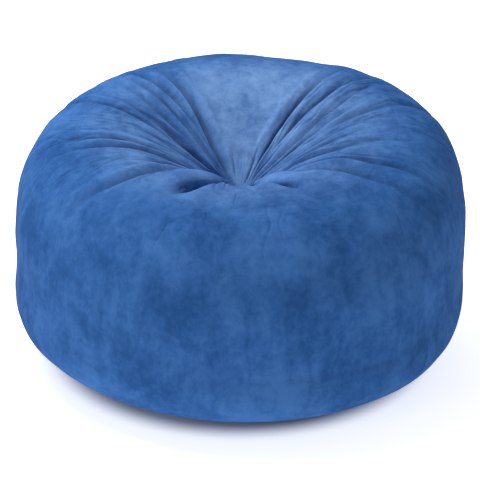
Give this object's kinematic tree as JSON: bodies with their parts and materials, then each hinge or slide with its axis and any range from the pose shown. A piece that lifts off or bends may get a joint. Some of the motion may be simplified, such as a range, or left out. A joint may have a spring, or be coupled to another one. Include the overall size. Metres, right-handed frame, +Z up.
{
  "type": "bean bag chair",
  "caption": "Large round bean bag chair: a zipped suede cover gathered at the top over a zipped liner of shredded foam.",
  "frame": {"origin": "on the floor, under the middle of the chair", "axes": "+Z up; the low front faces -Y and the zip is at the back, +Y"},
  "size_m": [1.5, 1.5, 0.8397],
  "materials": {
    "suede": "brushed royal blue microsuede with a mottled nap",
    "cover_thread": "matching polyester thread",
    "cover_tape": "woven zip tape, matching blue",
    "cover_coil": "moulded nylon coil, matching blue",
    "zip_metal": "nickel plated zinc, satin",
    "label_cloth": "blank white satin ribbon",
    "liner_cloth": "plain woven natural cotton",
    "liner_thread": "white polyester thread",
    "liner_tape": "woven zip tape, white",
    "liner_coil": "moulded nylon coil, white",
    "foam": "open cell polyurethane foam, shredded"
  },
  "bodies": {
    "bag": {"cover_top": "suede", "cover_side_front": "suede", "cover_side_back": "suede", "cover_back_strip": "suede", "cover_base": "suede", "thread_gather": "cover_thread", "thread_top_seam": "cover_thread", "thread_side_seams": "cover_thread", "thread_back_seams": "cover_thread", "thread_base_seam": "cover_thread", "zip_tape_upper": "cover_tape", "zip_tape_lower": "cover_tape", "zip_coil_upper": "cover_coil", "zip_coil_lower": "cover_coil", "zip_end_stops": "zip_metal", "zip_bottom_stop": "zip_metal", "liner_zip_stops": "zip_metal", "care_label": "label_cloth", "liner_label": "label_cloth", "liner_top": "liner_cloth", "liner_side": "liner_cloth", "liner_base": "liner_cloth", "liner_thread_top": "liner_thread", "liner_thread_base": "liner_thread", "liner_zip_tape_upper": "liner_tape", "liner_zip_tape_lower": "liner_tape", "liner_zip_coil_upper": "liner_coil", "liner_zip_coil_lower": "liner_coil", "foam_fill": "foam"},
    "slider": {"zip_slider": "zip_metal"},
    "pull": {"zip_pull": "zip_metal"},
    "liner_slider": {"liner_zip_slider": "zip_metal"}
  },
  "joints": [
    {"name": "cover_zip_slide", "type": "hinge", "parent": "bag", "child": "slider", "pos_m": [0, 0, 0.11409], "axis": [0, 0, 1], "range_deg": [0, 147.22]},
    {"name": "pull_swing", "type": "hinge", "parent": "slider", "child": "pull", "pos_m": [0.6925, 0.20353, 0.11087], "axis": [-0.5366, -0.1577, -0.829], "range_deg": [-85, 85]},
    {"name": "liner_zip_slide", "type": "hinge", "parent": "bag", "child": "liner_slider", "pos_m": [0, 0, 0.272], "axis": [0, 0, 1], "range_deg": [0, 107.84]}
  ]
}
